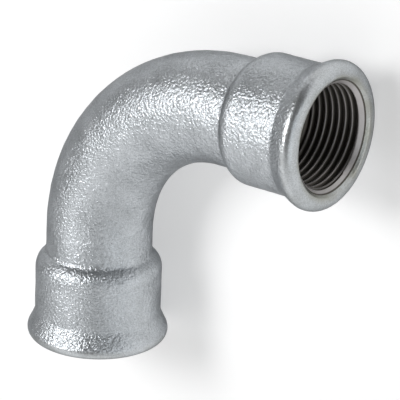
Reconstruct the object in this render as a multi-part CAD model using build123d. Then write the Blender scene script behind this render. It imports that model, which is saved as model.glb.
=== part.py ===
from build123d import *
from math import acos, atan2, degrees, hypot, radians, tan
import os

# Long-sweep pipe elbow: one iron casting with a threaded socket at each end and a rounded bead at
# each mouth. Millimetres. The elbow lies on its side: the bend is flat in the XY plane and +Z is up.
# The origin is the centre of the inlet's mouth. The inlet faces -Y and the outlet faces +X.

# Overall
centre_to_face = 85.0  # from the crossing of the two axes to each mouth
wall = 3.1  # of the casting, round the passage and over the thread's roots

# Passage between the sockets
passage_radius = 13.4

# Pipe thread, size 1 inch, cut at both ends
thread_major_radius = 16.6245  # at the roots, inside the wall
thread_minor_radius = 15.1455  # at the crests, which is the bore a gauge pin meets
thread_length = 17.5  # full turns, from the countersink's foot to the run-out
runout_length = 3.45  # cone from the thread down to the passage

# Countersink that leads the pipe in
countersink_clearance = 0.875  # how far its rim stands outside the thread's roots
countersink_half_angle = 45.0

# Bead round each mouth
mouth_land = 1.4  # width of the flat ring between the countersink and the bead's rounding
bead_height = 2.25  # over the socket's wall
bead_back = 5.4  # length from the crown to the bead's foot
bead_fillet = 3.0  # at the foot

# Where a socket narrows to the tube
shoulder_slope = 1.45  # its length over its height
shoulder_rounding = 0.5  # radius that its outline ends with, over its height
shoulder_hollow = 0.55  # radius of the hollow at its foot, over its height
neck_length = 7.5  # straight tube between the shoulder and the bend

# Worked out from the sizes above
tube_radius = passage_radius + wall
socket_radius = thread_major_radius + wall
bead_radius = socket_radius + bead_height
countersink_radius = thread_major_radius + countersink_clearance
countersink_depth = (countersink_radius - thread_minor_radius) / tan(radians(countersink_half_angle))
rim_radius = countersink_radius + mouth_land
mouth_rounding = bead_radius - rim_radius  # from the flat ring out to the crown
bead_length = mouth_rounding + bead_back
shoulder_height = socket_radius - tube_radius
shoulder_length = shoulder_slope * shoulder_height
shoulder_end_radius = shoulder_rounding * shoulder_height
shoulder_fillet = shoulder_hollow * shoulder_height
thread_end = countersink_depth + thread_length
shoulder_start = thread_end + runout_length
shoulder_end = shoulder_start + shoulder_length
bend_start = shoulder_end + neck_length
bend_radius = centre_to_face - bend_start

# Each socket is drawn with its mouth at the origin, facing +Z, and then placed.
inlet = Plane(origin=(0, 0, 0), x_dir=(0, 0, 1), z_dir=(0, -1, 0))
outlet = Plane(origin=(centre_to_face, centre_to_face, 0), x_dir=(0, 0, 1), z_dir=(1, 0, 0))
bend_axis = Axis((bend_radius, bend_start, 0), (0, 0, -1))


def quarter_bend(radius):
    """A round bar through the quarter turn between the two necks."""
    section = Plane.XZ.offset(-bend_start) * Circle(radius)
    return revolve(section, bend_axis, 90)


def turned(face):
    """The solid turned from a face, drawn with radius across and the socket's axis up."""
    return revolve(Plane.XZ * face, Axis.Z)


def oval_fall(foot_radius, start_depth, height, length, end_radius):
    """Outline that falls along a quarter oval, from the height over the foot down to the foot.

    It is two tangent arcs: a long one that leaves level, and a small one that ends upright.
    """
    reach = length - end_radius
    long_radius = (height**2 + length**2 - 2 * length * end_radius) / (2 * (height - end_radius))
    turn = degrees(atan2(reach, long_radius - height))
    long_centre = (foot_radius + height - long_radius, -start_depth)
    end_centre = (foot_radius, -start_depth - reach)
    return [
        CenterArc(long_centre, long_radius, -turn, turn),
        CenterArc(end_centre, end_radius, -90, 90 - turn),
    ]


def bead():
    """Outline of a bead from the flat ring to its foot: an arc over the crown, then a straight slope.

    The slope is the line from the foot that touches the arc.
    """
    foot_height = socket_radius - rim_radius  # over the arc's centre
    foot_distance = hypot(bead_back, foot_height)
    slope = degrees(atan2(bead_back, foot_height) - acos(mouth_rounding / foot_distance))
    crown = CenterArc((rim_radius, -mouth_rounding), mouth_rounding, -slope, 90 + slope)
    return [crown, Line(crown @ 0, (socket_radius, -bead_length))]


def corner(face, radius, depth):
    """The corner of a drawn face at this radius and depth behind the mouth."""
    return face.vertices().sort_by_distance((radius, -depth))[0]


def socket_outside():
    """Outer form of a socket and its neck: bead, wall, shoulder and tube, without the bore."""
    outline = Curve() + [
        Polyline((0, -bend_start), (0, 0), (rim_radius, 0)),
        *bead(),
        Line((socket_radius, -bead_length), (socket_radius, -shoulder_start)),
        *oval_fall(tube_radius, shoulder_start, shoulder_height, shoulder_length, shoulder_end_radius),
        Polyline((tube_radius, -shoulder_end), (tube_radius, -bend_start), (0, -bend_start)),
    ]
    face = make_face(outline)
    face = fillet(corner(face, socket_radius, bead_length), bead_fillet)
    face = fillet(corner(face, tube_radius, shoulder_end), shoulder_fillet)
    return turned(face)


def socket_inside():
    """Space inside a socket and its neck: countersink, thread bore, run-out cone and passage."""
    outline = Polyline(
        (0, 0),
        (countersink_radius, 0),
        (thread_minor_radius, -countersink_depth),
        (thread_minor_radius, -thread_end),
        (passage_radius, -shoulder_start),
        (passage_radius, -bend_start),
        (0, -bend_start),
        close=True,
    )
    return turned(make_face(outline))


# The casting is its outer form less the space that the core left in it.
outside = quarter_bend(tube_radius) + inlet * socket_outside() + outlet * socket_outside()
inside = quarter_bend(passage_radius) + inlet * socket_inside() + outlet * socket_inside()
elbow_casting = outside - inside

os.makedirs("parts", exist_ok=True)
export_step(elbow_casting, "parts/elbow_casting.step")
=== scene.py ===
import logging
from dataclasses import dataclass, field
from enum import Enum
from math import pi, radians, tan

import bpy
import numpy as np
from mathutils import Matrix, Vector


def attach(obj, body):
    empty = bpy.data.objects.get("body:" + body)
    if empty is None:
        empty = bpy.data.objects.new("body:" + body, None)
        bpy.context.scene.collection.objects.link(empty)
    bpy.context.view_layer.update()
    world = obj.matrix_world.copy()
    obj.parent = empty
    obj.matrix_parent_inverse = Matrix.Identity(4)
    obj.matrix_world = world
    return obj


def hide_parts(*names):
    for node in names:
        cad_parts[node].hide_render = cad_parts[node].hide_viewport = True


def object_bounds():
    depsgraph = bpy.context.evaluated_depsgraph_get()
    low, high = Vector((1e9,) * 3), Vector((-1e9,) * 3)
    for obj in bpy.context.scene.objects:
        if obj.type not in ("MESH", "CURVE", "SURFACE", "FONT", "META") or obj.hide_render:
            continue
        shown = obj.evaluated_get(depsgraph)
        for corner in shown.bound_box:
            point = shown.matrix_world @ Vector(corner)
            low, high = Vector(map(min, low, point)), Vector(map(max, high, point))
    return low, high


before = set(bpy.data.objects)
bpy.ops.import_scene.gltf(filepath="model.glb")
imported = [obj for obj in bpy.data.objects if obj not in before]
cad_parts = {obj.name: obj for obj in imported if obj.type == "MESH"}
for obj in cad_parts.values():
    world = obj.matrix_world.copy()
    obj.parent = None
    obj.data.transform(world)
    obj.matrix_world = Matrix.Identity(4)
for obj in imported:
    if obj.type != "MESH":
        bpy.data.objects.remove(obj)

CAD_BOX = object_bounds()
LOG = logging.getLogger("elbow")
MM = 0.001


class Region(Enum):
    """The finishes that the casting's surface is divided into, in the order of its material slots."""

    SKIN = 0
    CUT = 1
    PASSAGE = 2


@dataclass(frozen=True)
class SocketSizes:
    """Sizes of one socket in millimetres, as depths behind the mouth and radii."""

    wall: float = 3.1
    passage_radius: float = 13.4
    major_radius: float = 16.6245
    minor_radius: float = 15.1455
    pitch: float = 2.309
    thread_length: float = 17.5
    runout_length: float = 3.45
    countersink_clearance: float = 0.875
    mouth_land: float = 1.4
    bead_height: float = 2.25
    bead_back: float = 5.4
    bead_fillet: float = 3.0
    shoulder_slope: float = 1.45
    shoulder_rounding: float = 0.5
    shoulder_hollow: float = 0.55
    neck_length: float = 7.5
    groove_start: float = 0.208
    cut_edge: float = 0.75
    # width in depth of the dark ring painted as shadow on the countersink, just past the zinc's edge
    painted_shadow_line: float = 0.4

    @property
    def tube_radius(self) -> float:
        """Outside radius of the tube."""
        return self.passage_radius + self.wall

    @property
    def socket_radius(self) -> float:
        """Outside radius of the socket's straight wall."""
        return self.major_radius + self.wall

    @property
    def bead_radius(self) -> float:
        """Outside radius at the bead's crown."""
        return self.socket_radius + self.bead_height

    @property
    def countersink_radius(self) -> float:
        """Radius of the countersink at the mouth."""
        return self.major_radius + self.countersink_clearance

    @property
    def countersink_depth(self) -> float:
        """Depth at which the 45 degree countersink meets the thread's crests."""
        return self.countersink_radius - self.minor_radius

    @property
    def rim_radius(self) -> float:
        """Outer radius of the flat ring at the mouth."""
        return self.countersink_radius + self.mouth_land

    @property
    def mouth_rounding(self) -> float:
        """Radius of the rounding between the flat ring and the crown."""
        return self.bead_radius - self.rim_radius

    @property
    def bead_length(self) -> float:
        """Depth of the bead's foot."""
        return self.mouth_rounding + self.bead_back

    @property
    def thread_end(self) -> float:
        """Depth at which the full thread ends."""
        return self.countersink_depth + self.thread_length

    @property
    def shoulder_start(self) -> float:
        """Depth at which the shoulder begins and the inside has narrowed to the passage."""
        return self.thread_end + self.runout_length

    @property
    def shoulder_height(self) -> float:
        """How far the socket's wall stands over the tube."""
        return self.socket_radius - self.tube_radius

    @property
    def shoulder_length(self) -> float:
        """Length of the shoulder along the axis."""
        return self.shoulder_slope * self.shoulder_height

    @property
    def shoulder_end_radius(self) -> float:
        """Radius of the small arc that the shoulder's outline ends with."""
        return self.shoulder_rounding * self.shoulder_height

    @property
    def shoulder_fillet(self) -> float:
        """Radius of the hollow at the shoulder's foot."""
        return self.shoulder_hollow * self.shoulder_height

    @property
    def shoulder_end(self) -> float:
        """Depth at which the shoulder meets the tube."""
        return self.shoulder_start + self.shoulder_length

    @property
    def bend_start(self) -> float:
        """Depth at which the tube starts to bend."""
        return self.shoulder_end + self.neck_length


def arc(centre: tuple[float, float], radius: float, start: float, end: float, count: int) -> np.ndarray:
    """Points of a circular arc in the plane of depth and radius.

    A point is the centre plus the radius times the cosine and sine of an angle that runs evenly.

    Args:
        centre: depth and radius of the arc's centre.
        radius: the arc's own radius.
        start: first angle in radians, 0 along the depth and a quarter turn outwards.
        end: last angle.
        count: number of points.

    Returns:
        An array of (depth, radius) rows.
    """
    angle = np.linspace(start, end, count)
    return np.stack([centre[0] + radius * np.cos(angle), centre[1] + radius * np.sin(angle)], axis=1)


def straight(start: tuple[float, float], end: tuple[float, float], step: float) -> np.ndarray:
    """Points of a straight run, about one step apart, both ends included.

    Args:
        start: depth and radius of the first point.
        end: depth and radius of the last point.
        step: wanted distance between points.

    Returns:
        An array of (depth, radius) rows.
    """
    length = float(np.hypot(end[0] - start[0], end[1] - start[1]))
    count = max(2, int(np.ceil(length / step)) + 1)
    return np.linspace(start, end, count)


def smooth_step(value: np.ndarray, low: float, high: float) -> np.ndarray:
    """Rises from 0 to 1 as the value goes from low to high, along 3t squared less 2t cubed.

    Args:
        value: any array.
        low: where the rise starts.
        high: where it ends.

    Returns:
        An array of the same shape.
    """
    t = np.clip((value - low) / (high - low), 0.0, 1.0)
    return t * t * (3.0 - 2.0 * t)


def lattice_noise(points: np.ndarray, cell: float, seed: int) -> np.ndarray:
    """Smooth noise from 0 to 1: random values on a cubic lattice, blended by smooth steps between corners.

    Args:
        points: rows of x, y and z.
        cell: the lattice's spacing, in the points' unit.
        seed: picks the random values.

    Returns:
        One value for each point.
    """
    side = 97
    table = np.random.default_rng(seed).random((side, side, side))
    place = points / cell
    corner = np.floor(place).astype(int)
    part = place - corner
    part = part * part * (3.0 - 2.0 * part)
    total = np.zeros(len(points))
    for dx, dy, dz in np.ndindex(2, 2, 2):
        ix, iy, iz = ((corner + (dx, dy, dz)) % side).T
        weight_x = part[:, 0] if dx else 1.0 - part[:, 0]
        weight_y = part[:, 1] if dy else 1.0 - part[:, 1]
        weight_z = part[:, 2] if dz else 1.0 - part[:, 2]
        total += table[ix, iy, iz] * weight_x * weight_y * weight_z
    return total


@dataclass
class Casting:
    """The elbow's one casting: a closed grid of rings, carried along the bend and back through its inside."""

    sizes: SocketSizes = field(default_factory=SocketSizes)
    centre_to_face: float = 85.0
    ring_points: int = 160
    skin_step: float = 0.56
    thread_step: float = 0.2
    passage_step: float = 1.7
    ring_stain: float = 0.2
    dirt_side: float = radians(225.0)
    dirt_width: float = 1.6
    node: str = "elbow_casting"

    @property
    def bend_radius(self) -> float:
        """Radius of the bend's centreline."""
        return self.centre_to_face - self.sizes.bend_start

    @property
    def length(self) -> float:
        """Length of the centreline from mouth to mouth."""
        return 2.0 * self.sizes.bend_start + self.bend_radius * pi / 2.0

    def fall(self, foot: float, start: float, height: float, length: float, small: float,
             fillet: float) -> np.ndarray:
        """Outline of a quarter oval that falls to a foot, with a hollow fillet there.

        Two tangent arcs: a long one that leaves level, then a small one. A third arc, hollow, is tangent
        to the small one and to the wall at the foot.

        Args:
            foot: radius of the wall that it falls to.
            start: depth at which the fall starts.
            height: height over the foot.
            length: length of the fall without its fillet.
            small: radius of the small arc.
            fillet: radius of the hollow arc.

        Returns:
            An array of (depth, radius) rows.
        """
        reach = length - small
        large = (height**2 + length**2 - 2.0 * length * small) / (2.0 * (height - small))
        turn = float(np.arctan2(reach, large - height))
        over = float(np.sqrt((small + fillet) ** 2 - fillet**2))
        meet = float(np.arctan2(fillet, over))
        crown = arc((start, foot + height - large), large, pi / 2.0, pi / 2.0 - turn, 11)
        edge = arc((start + reach, foot), small, pi / 2.0 - turn, meet, 3)
        hollow = arc((start + reach + over, foot + fillet), fillet, pi + meet, 1.5 * pi, 8)
        return np.concatenate([crown, edge[1:], hollow[1:]])

    def bead(self) -> np.ndarray:
        """Outline of the bead from the flat ring to the socket's wall.

        One arc goes over the crown to where a line from the foot touches it. That line is the bead's
        straight back, and a hollow arc that is tangent to it and to the wall rounds the foot.

        Returns:
            An array of (depth, radius) rows.
        """
        s = self.sizes
        foot_height = s.socket_radius - s.rim_radius
        distance = float(np.hypot(s.bead_back, foot_height))
        slope = float(np.arctan2(s.bead_back, foot_height) - np.arccos(s.mouth_rounding / distance))
        reach = s.bead_fillet * tan(slope / 2.0)
        crown = arc((s.mouth_rounding, s.rim_radius), s.mouth_rounding, pi, pi / 2.0 - slope, 14)
        end = (s.bead_length - reach * np.cos(slope), s.socket_radius + reach * np.sin(slope))
        back = straight(tuple(crown[-1]), end, self.skin_step)
        hollow = arc((s.bead_length + reach, s.socket_radius + s.bead_fillet), s.bead_fillet,
                     1.5 * pi - slope, 1.5 * pi, 5)
        return np.concatenate([crown, back[1:], hollow[1:]])

    def socket_outside(self) -> np.ndarray:
        """Outline of a socket's outside, from the flat ring at its mouth to the start of the bend.

        Returns:
            An array of (depth, radius) rows.
        """
        s = self.sizes
        bead = self.bead()
        wall = straight(tuple(bead[-1]), (s.shoulder_start, s.socket_radius), self.skin_step)
        shoulder = self.fall(s.tube_radius, s.shoulder_start, s.shoulder_height, s.shoulder_length,
                             s.shoulder_end_radius, s.shoulder_fillet)
        neck = straight(tuple(shoulder[-1]), (s.bend_start, s.tube_radius), self.skin_step)
        return np.concatenate([bead, wall[1:], shoulder[1:], neck[1:]])

    def socket_inside(self) -> np.ndarray:
        """Outline of a socket's inside at the thread's crests, from the bend's start out to the flat ring.

        Returns:
            An array of (depth, radius) rows.
        """
        s = self.sizes
        neck = straight((s.bend_start, s.passage_radius), (s.shoulder_start, s.passage_radius), 1.0)
        cone = straight((s.shoulder_start, s.passage_radius), (s.thread_end, s.minor_radius), 0.4)
        thread = straight((s.thread_end, s.minor_radius), (s.countersink_depth, s.minor_radius),
                          self.thread_step)
        lead = straight((s.countersink_depth, s.minor_radius), (0.0, s.countersink_radius),
                        1.4 * self.thread_step)
        land = straight((0.0, s.countersink_radius), (0.0, s.rim_radius), 0.5)
        return np.concatenate([neck, cone[1:], thread[1:], lead[1:], land[1:]])

    def rings(self) -> tuple[np.ndarray, np.ndarray, np.ndarray, np.ndarray]:
        """The closed outline that every ring of the casting takes its place and radius from.

        Returns:
            Four arrays, one value for each ring: distance along the centreline from the inlet's mouth,
            radius, depth behind the nearer mouth, and 1 on the inside or 0 on the outside.
        """
        s = self.sizes
        outside, inside = self.socket_outside(), self.socket_inside()
        bend_end = self.length - s.bend_start
        skin = np.arange(s.bend_start, bend_end, self.skin_step)[1:]
        bore = np.arange(bend_end, s.bend_start, -self.passage_step)[1:]
        along = np.concatenate([
            outside[:, 0], skin, self.length - outside[::-1, 0],
            self.length - inside[-2::-1, 0], bore, inside[:-1, 0],
        ])
        radius = np.concatenate([
            outside[:, 1], np.full(len(skin), s.tube_radius), outside[::-1, 1],
            inside[-2::-1, 1], np.full(len(bore), s.passage_radius), inside[:-1, 1],
        ])
        within = np.concatenate([
            np.zeros(2 * len(outside) + len(skin)), np.ones(2 * (len(inside) - 1) + len(bore)),
        ])
        return along, radius, np.minimum(along, self.length - along), within

    def thread_cut(self, depth: np.ndarray, turn: np.ndarray) -> tuple[np.ndarray, np.ndarray]:
        """How far the helical groove is cut below the crests, and how near a point is to a crest.

        The distance along the axis to the nearest crest, u, rises by one pitch a turn, so the crests are
        a right-hand helix. From the crest the groove follows a small circle, then the straight 55 degree
        flank, then the same circle turned over at the root. Past the full turns it fades into the run-out.

        Args:
            depth: depth behind the mouth, one value for each point.
            turn: angle round the axis as seen from outside the mouth, in turns.

        Returns:
            The groove's depth, and a value that is 1 at a crest and 0 at a root.
        """
        s = self.sizes
        half_angle = radians(27.5)
        circle = 0.1373 * s.pitch
        edge = circle * np.cos(half_angle)
        phase = (depth - s.countersink_depth) / s.pitch + turn + s.groove_start
        near = np.abs(phase - np.round(phase)) * s.pitch
        folded = np.minimum(near, s.pitch / 2.0 - near)
        rounded = circle - np.sqrt(np.maximum(circle**2 - np.minimum(folded, edge) ** 2, 0.0))
        fallen = rounded + np.maximum(folded - edge, 0.0) / tan(half_angle)
        full = s.major_radius - s.minor_radius
        groove = np.where(near <= s.pitch / 4.0, fallen, full - fallen)
        fade = 1.0 - smooth_step(depth, s.thread_end - 1.2 * s.pitch, s.thread_end + 0.8 * s.pitch)
        fade = fade * smooth_step(depth, s.countersink_depth - 0.5, s.countersink_depth + 0.5)
        return groove * fade, 1.0 - groove / full

    def centreline(self, along: np.ndarray) -> tuple[np.ndarray, np.ndarray]:
        """Places on the centreline and the direction across it, away from the bend's centre.

        The line runs straight along +Y from the inlet, turns a quarter circle to +X and runs straight.

        Args:
            along: distances from the inlet's mouth.

        Returns:
            Two arrays of x, y, z rows: places, and unit directions outwards in the bend's plane.
        """
        start = self.sizes.bend_start
        angle = np.clip((along - start) / self.bend_radius, 0.0, pi / 2.0)
        before = np.minimum(along, start)
        after = np.maximum(along - (self.length - start), 0.0)
        x = self.bend_radius * (1.0 - np.cos(angle)) + after
        y = before + self.bend_radius * np.sin(angle)
        flat = np.zeros_like(x)
        return np.stack([x, y, flat], axis=1), np.stack([-np.cos(angle), np.sin(angle), flat], axis=1)

    def surface(self) -> dict[str, np.ndarray]:
        """The whole skin as a grid of rings by points round each ring.

        A point is its ring's place on the centreline plus the radius times the cosine of its angle
        outwards from the bend and the sine of it upwards. Inside, the radius is the larger of the
        countersink and the helical thread. Outside, noise that only takes metal away makes the cast skin.

        Returns:
            Arrays by name: points in millimetres, the crest value, which also marks where painted shade goes,
                the skin value and the ring's data.
        """
        s = self.sizes
        along, radius, depth, within = self.rings()
        place, outward = self.centreline(along)
        angle = np.linspace(0.0, 2.0 * pi, self.ring_points, endpoint=False)
        count = (len(along), len(angle))
        grid_depth = np.broadcast_to(depth[:, None], count)
        # seen from outside its mouth, the inlet's rings turn the other way from the outlet's
        way = np.where(along < self.length / 2.0, -1.0, 1.0)
        turn = way[:, None] * angle[None, :] / (2.0 * pi)
        groove, crest = self.thread_cut(grid_depth, turn)
        threaded = (within[:, None] > 0.5) & (grid_depth <= s.shoulder_start) & (grid_depth > 0.0)
        lead = s.countersink_radius - grid_depth
        full = np.broadcast_to(radius[:, None], count)
        cut_radius = np.minimum(full, s.minor_radius) + groove
        grid_radius = np.where(threaded, np.maximum(cut_radius, lead), full)
        cone = lead > cut_radius
        # painted shadow: on the countersink a thin ring just past the zinc's edge gets crest 0 and so the
        # dark root tone; deeper, the cone gets the crest tone
        past_shadow_line = np.where(grid_depth < s.cut_edge + s.painted_shadow_line, 0.0, 1.0)
        crest = np.where(threaded, np.where(cone, past_shadow_line, crest), 0.0)
        bored = threaded & ~(cone & (grid_depth < s.cut_edge))
        dirt = (0.5 + 0.5 * np.cos(angle - self.dirt_side)) ** 2
        stain_reach = s.rim_radius + self.dirt_width * dirt[None, :]
        stain = 1.0 - smooth_step((grid_radius - s.countersink_radius) / (stain_reach - s.countersink_radius),
                                  -0.2, 1.0)
        stain = self.ring_stain + (1.0 - self.ring_stain) * stain
        stain = np.where(grid_depth < s.mouth_rounding, stain, 0.0)
        up = np.array([0.0, 0.0, 1.0])
        across = np.cos(angle)[None, :, None] * outward[:, None, :] + np.sin(angle)[None, :, None] * up
        points = place[:, None, :] + grid_radius[:, :, None] * across
        rough = np.where(within > 0.5, smooth_step(depth, s.shoulder_start, s.shoulder_end),
                         smooth_step(depth, 1.2, 4.5))
        flat_points = points.reshape(-1, 3)
        swell = lattice_noise(flat_points, 9.0, 11).reshape(count)
        lump = lattice_noise(flat_points, 3.1, 12).reshape(count)
        pebble = lattice_noise(flat_points, 1.5, 13).reshape(count)
        worn = (0.10 * swell + 0.09 * lump + 0.07 * pebble) * rough[:, None]
        worn = np.where(within[:, None] > 0.5, -worn, worn)
        points = points - worn[:, :, None] * across
        return {
            "points": points,
            "crest": crest,
            "stain": stain,
            "bored": bored,
            "rough": np.broadcast_to(rough[:, None], count),
            "within": within,
            "depth": depth,
        }

    def build(self, finishes: list[bpy.types.Material]) -> bpy.types.Object:
        """Makes the casting's mesh object in metres, with its attributes and finishes.

        Args:
            finishes: one material for each Region, in order.

        Returns:
            The object, which stands for the CAD node and rides on its body.
        """
        data = self.surface()
        rows, columns = data["crest"].shape
        ring = np.arange(rows)[:, None]
        spot = np.arange(columns)[None, :]
        next_ring, next_spot = (ring + 1) % rows, (spot + 1) % columns
        quads = np.stack([
            ring * columns + spot, next_ring * columns + spot,
            next_ring * columns + next_spot, ring * columns + next_spot,
        ], axis=-1).reshape(-1, 4)
        mesh = bpy.data.meshes.new("elbow")
        mesh.from_pydata((data["points"].reshape(-1, 3) * MM).tolist(), [], quads.tolist())
        mesh.polygons.foreach_set("use_smooth", np.ones(len(quads), bool))
        # crest carries the painted shade of the thread's roots and of the countersink's shadow line
        for name in ("crest", "rough", "stain"):
            layer = mesh.attributes.new(name, "FLOAT", "POINT")
            layer.data.foreach_set("value", np.ascontiguousarray(data[name]).ravel())
        deep = (data["within"] > 0.5) & (data["depth"] >= self.sizes.countersink_depth)
        kind = np.where(deep[:, None] & ~data["bored"], Region.PASSAGE.value, Region.SKIN.value)
        kind = np.where(data["bored"], Region.CUT.value, kind)
        mesh.polygons.foreach_set("material_index", kind.astype(np.int32).ravel())
        for finish in finishes:
            mesh.materials.append(finish)
        mesh.update()
        piece = bpy.data.objects.new("elbow", mesh)
        bpy.context.scene.collection.objects.link(piece)
        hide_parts(self.node)
        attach(piece, "root")
        return piece


@dataclass
class Shader:
    """A material's or a group's node tree, with short ways to add nodes and join them."""

    tree: bpy.types.NodeTree

    def add(self, kind: str, **settings: object) -> bpy.types.Node:
        """Adds a node.

        Args:
            kind: the node's type.
            settings: its properties by name, or its inputs' values where the name is an input's.

        Returns:
            The node.
        """
        node = self.tree.nodes.new(kind)
        for name, value in settings.items():
            if hasattr(node, name):
                setattr(node, name, value)
            else:
                node.inputs[name.replace("_", " ")].default_value = value
        return node

    def join(self, output: bpy.types.NodeSocket, target: bpy.types.NodeSocket) -> None:
        """Links an output to an input."""
        self.tree.links.new(output, target)

    def maths(self, operation: str, first: object, second: object = 0.0) -> bpy.types.NodeSocket:
        """Adds a Math node whose inputs are sockets or numbers.

        Args:
            operation: what it does.
            first: its first input.
            second: its second input.

        Returns:
            Its output.
        """
        node = self.add("ShaderNodeMath", operation=operation)
        for index, value in enumerate((first, second)):
            if isinstance(value, bpy.types.NodeSocket):
                self.join(value, node.inputs[index])
            else:
                node.inputs[index].default_value = value
        return node.outputs[0]

    def blend(self, factor: object, first: object, second: object) -> bpy.types.NodeSocket:
        """Adds a colour mix whose inputs are sockets or colours.

        Args:
            factor: 0 gives the first colour and 1 the second.
            first: the first colour.
            second: the second colour.

        Returns:
            The mixed colour.
        """
        node = self.add("ShaderNodeMix", data_type="RGBA")
        sockets = (node.inputs[0], node.inputs[6], node.inputs[7])
        for socket, value in zip(sockets, (factor, first, second)):
            if isinstance(value, bpy.types.NodeSocket):
                self.join(value, socket)
            else:
                socket.default_value = value
        return node.outputs[2]

    def spread(self, value: bpy.types.NodeSocket, low: float, high: float, bottom: float = 0.0,
               top: float = 1.0) -> bpy.types.NodeSocket:
        """Maps a value from one range to another and holds it at the ends.

        Args:
            value: the socket to map.
            low: start of its range.
            high: end of its range.
            bottom: what low becomes.
            top: what high becomes.

        Returns:
            The mapped value.
        """
        node = self.add("ShaderNodeMapRange", From_Min=low, From_Max=high, To_Min=bottom, To_Max=top)
        self.join(value, node.inputs["Value"])
        return node.outputs[0]

    def place(self) -> bpy.types.NodeSocket:
        """The point's place on the piece, in metres."""
        return self.add("ShaderNodeTexCoord").outputs["Object"]

    def mark(self, name: str) -> bpy.types.NodeSocket:
        """The value of one of the mesh's own attributes."""
        return self.add("ShaderNodeAttribute", attribute_name=name).outputs["Fac"]


def colour(red: float, green: float, blue: float) -> tuple[float, float, float, float]:
    """A colour given as it shows on screen, from 0 to 255, as the linear values that a shader takes."""
    screen = np.array([red, green, blue]) / 255.0
    linear = np.where(screen <= 0.04045, screen / 12.92, ((screen + 0.055) / 1.055) ** 2.4)
    return (float(linear[0]), float(linear[1]), float(linear[2]), 1.0)


@dataclass
class PebbleGroup:
    """The relief of a zinc-dipped cast skin, shared by the finishes: wrinkles, pebbles and pits."""

    name: str = "cast_pebbles"

    def build(self) -> bpy.types.ShaderNodeTree:
        """Makes the group.

        Returns:
            A group that takes a place, a grain size and how rough the spot is, and puts out the height of
            the relief, a mask of pits and a mottle from 0 to 1.
        """
        tree = bpy.data.node_groups.new(self.name, "ShaderNodeTree")
        face = tree.interface
        face.new_socket("Place", in_out="INPUT", socket_type="NodeSocketVector")
        grain = face.new_socket("Grain per metre", in_out="INPUT", socket_type="NodeSocketFloat")
        grain.default_value = 900.0
        face.new_socket("Rough", in_out="INPUT", socket_type="NodeSocketFloat").default_value = 1.0
        for out in ("Height", "Pits", "Mottle", "Speckle"):
            face.new_socket(out, in_out="OUTPUT", socket_type="NodeSocketFloat")
        shader = Shader(tree)
        given = shader.add("NodeGroupInput")
        result = shader.add("NodeGroupOutput")
        per_metre = given.outputs["Grain per metre"]
        grit = shader.add("ShaderNodeTexNoise", Detail=2.0, Roughness=0.6, Distortion=0.2)
        shader.join(given.outputs["Place"], grit.inputs["Vector"])
        shader.join(per_metre, grit.inputs["Scale"])
        cells = shader.add("ShaderNodeTexVoronoi", feature="SMOOTH_F1", Smoothness=0.5)
        shader.join(given.outputs["Place"], cells.inputs["Vector"])
        shader.join(shader.maths("MULTIPLY", per_metre, 0.6), cells.inputs["Scale"])
        broad = shader.add("ShaderNodeTexNoise", Detail=3.0, Roughness=0.6)
        shader.join(given.outputs["Place"], broad.inputs["Vector"])
        shader.join(shader.maths("MULTIPLY", per_metre, 0.07), broad.inputs["Scale"])
        fine = shader.add("ShaderNodeTexNoise", Detail=1.0, Roughness=0.5)
        shader.join(given.outputs["Place"], fine.inputs["Vector"])
        shader.join(shader.maths("MULTIPLY", per_metre, 1.7), fine.inputs["Scale"])
        shader.join(shader.spread(fine.outputs[0], 0.3, 0.7), result.inputs["Speckle"])
        domes = shader.maths("SUBTRACT", 1.0, cells.outputs["Distance"])
        relief = shader.maths("ADD", shader.maths("MULTIPLY", grit.outputs[0], 0.8),
                              shader.maths("MULTIPLY", domes, 0.5))
        height = shader.maths("MULTIPLY", relief, given.outputs["Rough"])
        shader.join(height, result.inputs["Height"])
        pocks = shader.add("ShaderNodeTexVoronoi", feature="F1")
        shader.join(given.outputs["Place"], pocks.inputs["Vector"])
        shader.join(shader.maths("MULTIPLY", per_metre, 0.25), pocks.inputs["Scale"])
        pit = shader.spread(pocks.outputs["Distance"], 0.04, 0.10, 1.0, 0.0)
        rare = shader.spread(broad.outputs[0], 0.48, 0.60)
        shader.join(shader.maths("MULTIPLY", pit, rare), result.inputs["Pits"])
        shader.join(shader.spread(broad.outputs[0], 0.3, 0.7), result.inputs["Mottle"])
        return tree


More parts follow.
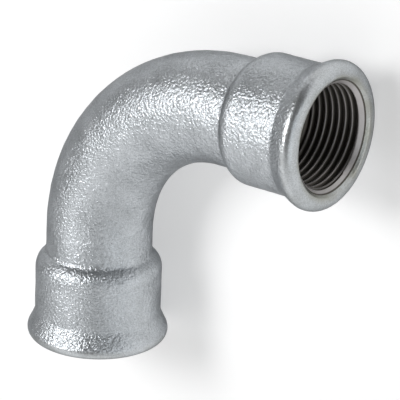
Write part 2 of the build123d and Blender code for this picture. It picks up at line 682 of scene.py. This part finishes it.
@dataclass(frozen=True)
class ZincFinish:
    """Hot-dip zinc over the cast skin."""

    name: str = "zinc_skin"
    light: tuple[float, float, float] = (218.0, 222.0, 226.0)
    dark: tuple[float, float, float] = (162.0, 166.0, 169.0)
    speckle: float = 0.6
    pit: tuple[float, float, float] = (110.0, 110.0, 106.0)
    stain: tuple[float, float, float] = (172.0, 171.0, 157.0)
    edge: float = 0.15
    metallic: float = 0.87
    roughness: tuple[float, float] = (0.30, 0.36)
    grain: float = 1700.0
    relief: float = 0.00036

    def build(self, pebbles: bpy.types.ShaderNodeTree) -> bpy.types.Material:
        """Makes the material.

        Args:
            pebbles: the shared relief group.

        Returns:
            The material.
        """
        material = bpy.data.materials.new(self.name)
        material.use_nodes = True
        shader = Shader(material.node_tree)
        surface = material.node_tree.nodes["Principled BSDF"]
        group = shader.add("ShaderNodeGroup", node_tree=pebbles)
        group.inputs["Grain per metre"].default_value = self.grain
        shader.join(shader.place(), group.inputs["Place"])
        smoothness = shader.spread(shader.mark("rough"), 0.0, 1.0, 0.22, 1.0)
        shader.join(smoothness, group.inputs["Rough"])
        cloud = shader.maths("MULTIPLY", group.outputs["Mottle"], 1.0 - self.speckle)
        cloud = shader.maths("ADD", cloud, shader.maths("MULTIPLY", group.outputs["Speckle"], self.speckle))
        tone = shader.blend(cloud, colour(*self.dark), colour(*self.light))
        tone = shader.blend(group.outputs["Pits"], tone, colour(*self.pit))
        worn_spot = shader.spread(group.outputs["Mottle"], 0.0, 1.0, 0.9, 0.25)
        soiled = shader.maths("MULTIPLY", shader.mark("stain"), worn_spot)
        tone = shader.blend(soiled, tone, colour(*self.stain))
        shader.join(tone, surface.inputs["Base Color"])
        gloss = shader.spread(group.outputs["Mottle"], 0.0, 1.0, *self.roughness)
        shader.join(gloss, surface.inputs["Roughness"])
        surface.inputs["Metallic"].default_value = self.metallic
        surface.inputs["Specular Tint"].default_value = (self.edge, self.edge, self.edge, 1.0)
        bump = shader.add("ShaderNodeBump", Strength=1.0, Distance=self.relief)
        shader.join(group.outputs["Height"], bump.inputs["Height"])
        shader.join(bump.outputs[0], surface.inputs["Normal"])
        return material


@dataclass(frozen=True)
class CutFinish:
    """Bare iron where the thread and its countersink were cut, with painted shade: a dark tone in the
    thread's roots and in a thin line round the countersink.
    """

    name: str = "cut_thread"
    crest: tuple[float, float, float] = (198.0, 194.0, 193.0)
    # painted shade: the dark tone given to the thread's roots and to the shadow line on the countersink
    groove: tuple[float, float, float] = (90.0, 86.0, 80.0)
    metallic: float = 0.7
    roughness: float = 0.4
    grain: float = 1500.0

    def build(self, pebbles: bpy.types.ShaderNodeTree) -> bpy.types.Material:
        """Makes the material.

        Args:
            pebbles: the shared relief group.

        Returns:
            The material.
        """
        material = bpy.data.materials.new(self.name)
        material.use_nodes = True
        shader = Shader(material.node_tree)
        surface = material.node_tree.nodes["Principled BSDF"]
        group = shader.add("ShaderNodeGroup", node_tree=pebbles)
        group.inputs["Grain per metre"].default_value = self.grain
        shader.join(shader.place(), group.inputs["Place"])
        # painted shade: only spots close to a crest get the crest tone, the rest is darkened as shade; a
        # random mottle varies the crests
        near_crest = shader.spread(shader.mark("crest"), 0.8, 1.0)
        crest_vs_root_shade = shader.maths("MULTIPLY", near_crest, shader.spread(group.outputs["Mottle"], 0, 1, 0.8, 1.0))
        tone = shader.blend(crest_vs_root_shade, colour(*self.groove), colour(*self.crest))
        shader.join(tone, surface.inputs["Base Color"])
        surface.inputs["Metallic"].default_value = self.metallic
        surface.inputs["Roughness"].default_value = self.roughness
        return material


@dataclass(frozen=True)
class PassageFinish:
    """The cast inside of the bend, dull, given a dark tone as painted shade because it lies unlit inside."""

    name: str = "passage_skin"
    # painted shade: both tones are far darker than the outside zinc because the inside lies in shade; the mix
    # between them is random mottle
    tone: tuple[float, float, float] = (92.0, 92.0, 92.0)
    dark: tuple[float, float, float] = (60.0, 58.0, 56.0)
    roughness: float = 0.6
    grain: float = 700.0
    relief: float = 0.0003

    def build(self, pebbles: bpy.types.ShaderNodeTree) -> bpy.types.Material:
        """Makes the material.

        Args:
            pebbles: the shared relief group.

        Returns:
            The material.
        """
        material = bpy.data.materials.new(self.name)
        material.use_nodes = True
        shader = Shader(material.node_tree)
        surface = material.node_tree.nodes["Principled BSDF"]
        group = shader.add("ShaderNodeGroup", node_tree=pebbles)
        group.inputs["Grain per metre"].default_value = self.grain
        shader.join(shader.place(), group.inputs["Place"])
        shader.join(shader.mark("rough"), group.inputs["Rough"])
        tone = shader.blend(group.outputs["Mottle"], colour(*self.dark), colour(*self.tone))
        shader.join(tone, surface.inputs["Base Color"])
        surface.inputs["Metallic"].default_value = 0.4
        surface.inputs["Roughness"].default_value = self.roughness
        bump = shader.add("ShaderNodeBump", Strength=1.0, Distance=self.relief)
        shader.join(group.outputs["Height"], bump.inputs["Height"])
        shader.join(bump.outputs[0], surface.inputs["Normal"])
        return material


@dataclass(frozen=True)
class Lamp:
    """A square softbox that looks at one spot."""

    name: str
    toward: tuple[float, float, float]
    distance: float
    side: float
    radiance: float
    tint: tuple[float, float, float] = (1.0, 1.0, 1.0)

    def build(self, target: Vector) -> bpy.types.Object:
        """Hangs the softbox.

        Args:
            target: the spot it looks at, in metres.

        Returns:
            The lamp.
        """
        light = bpy.data.lights.new(self.name, "AREA")
        light.shape = "SQUARE"
        light.size = self.side
        light.energy = self.radiance * pi * self.side**2
        light.color = self.tint
        lamp = bpy.data.objects.new(self.name, light)
        direction = Vector(self.toward).normalized()
        lamp.location = target + direction * self.distance
        lamp.rotation_euler = direction.to_track_quat("Z", "Y").to_euler()
        lamp.visible_camera = False
        bpy.context.scene.collection.objects.link(lamp)
        return lamp


@dataclass
class Studio:
    """Floor, world, lamps and camera."""

    target: Vector = field(default_factory=lambda: Vector((0.0364, 0.05334, -0.00264)))
    camera_place: Vector = field(default_factory=lambda: Vector((0.42691, 0.2941, 0.51214)))
    camera_up: Vector = field(default_factory=lambda: Vector((-0.2401, 0.9364, -0.2558)))
    lens: float = 208.64
    floor_side: float = 6.0
    floor_tone: tuple[float, float, float] = (212.0, 212.0, 212.0)
    floor_glow: float = 0.4
    surround: float = 0.08
    bright_side: float = 1.05
    lamps: tuple[Lamp, ...] = (
        Lamp("key", (-0.364, 0.31, 0.88), 0.9, 0.42, 9.8),
        Lamp("left", (-0.375, -0.375, 0.85), 0.9, 0.8, 0.5),
        Lamp("right", (0.97, 0.0, 0.22), 0.9, 0.8, 1.0, (0.93, 0.97, 1.0)),
    )

    def build_floor(self, height: float) -> bpy.types.Object:
        """Lays the floor under the part.

        The camera and glossy rays see it nearly white, with the object's shadow kept.

        Args:
            height: the floor's level in metres.

        Returns:
            The floor.
        """
        half = self.floor_side / 2.0
        mesh = bpy.data.meshes.new("floor")
        corners = [(-half, -half, height), (half, -half, height), (half, half, height), (-half, half, height)]
        mesh.from_pydata(corners, [], [(0, 1, 2, 3)])
        floor = bpy.data.objects.new("floor", mesh)
        bpy.context.scene.collection.objects.link(floor)
        material = bpy.data.materials.new("floor_paper")
        material.use_nodes = True
        shader = Shader(material.node_tree)
        material.node_tree.nodes.remove(material.node_tree.nodes["Principled BSDF"])
        paper = shader.add("ShaderNodeBsdfDiffuse", Color=colour(*self.floor_tone))
        glow = shader.add("ShaderNodeEmission")
        ray = shader.add("ShaderNodeLightPath")
        seen = shader.maths("MAXIMUM", ray.outputs["Is Camera Ray"], ray.outputs["Is Glossy Ray"])
        seen = shader.maths("MAXIMUM", seen, ray.outputs["Is Transmission Ray"])
        shader.join(shader.maths("MULTIPLY", seen, self.floor_glow), glow.inputs["Strength"])
        both = shader.add("ShaderNodeAddShader")
        shader.join(paper.outputs[0], both.inputs[0])
        shader.join(glow.outputs[0], both.inputs[1])
        shader.join(both.outputs[0], material.node_tree.nodes["Material Output"].inputs["Surface"])
        mesh.materials.append(material)
        return floor

    def build_world(self) -> None:
        """Makes the even studio surround, brighter on the side that the tube's front faces.

        Its strength is the surround plus the bright side's times the cosine of the angle from -Y.
        """
        world = bpy.data.worlds.new("studio")
        bpy.context.scene.world = world
        world.use_nodes = True
        shader = Shader(world.node_tree)
        back = world.node_tree.nodes["Background"]
        back.inputs["Color"].default_value = (1.0, 1.0, 1.0, 1.0)
        parts = shader.add("ShaderNodeSeparateXYZ")
        shader.join(shader.add("ShaderNodeTexCoord").outputs["Generated"], parts.inputs[0])
        lobe = shader.maths("MAXIMUM", shader.maths("MULTIPLY", parts.outputs["Y"], -self.bright_side))
        shader.join(shader.maths("ADD", lobe, self.surround), back.inputs["Strength"])

    def build_camera(self) -> bpy.types.Object:
        """Sets the camera at the photograph's viewpoint.

        Its axes are worked out from where it stands, what it looks at and which way is up.

        Returns:
            The camera.
        """
        camera = bpy.data.objects.new("camera", bpy.data.cameras.new("camera"))
        camera.data.sensor_width = 36.0
        camera.data.lens = self.lens
        back = (self.camera_place - self.target).normalized()
        right = self.camera_up.cross(back).normalized()
        axes = Matrix((right, back.cross(right), back)).transposed().to_4x4()
        camera.matrix_world = Matrix.Translation(self.camera_place) @ axes
        bpy.context.scene.collection.objects.link(camera)
        bpy.context.scene.camera = camera
        return camera

    def build(self, floor_height: float) -> None:
        """Builds the whole studio.

        Args:
            floor_height: the floor's level in metres.
        """
        self.build_floor(floor_height)
        self.build_world()
        for lamp in self.lamps:
            lamp.build(self.target)
        self.build_camera()
        bpy.context.scene.view_settings.view_transform = "Standard"


def main() -> None:
    """Builds the finishes, the casting and the studio in order."""
    logging.basicConfig(level=logging.INFO)
    pebbles = PebbleGroup().build()
    finishes = [ZincFinish().build(pebbles), CutFinish().build(pebbles), PassageFinish().build(pebbles)]
    casting = Casting()
    piece = casting.build(finishes)
    LOG.info("casting: %d quads", len(piece.data.polygons))
    Studio().build(CAD_BOX[0][2])
    LOG.info("studio built")


if __name__ == "__main__":
    main()
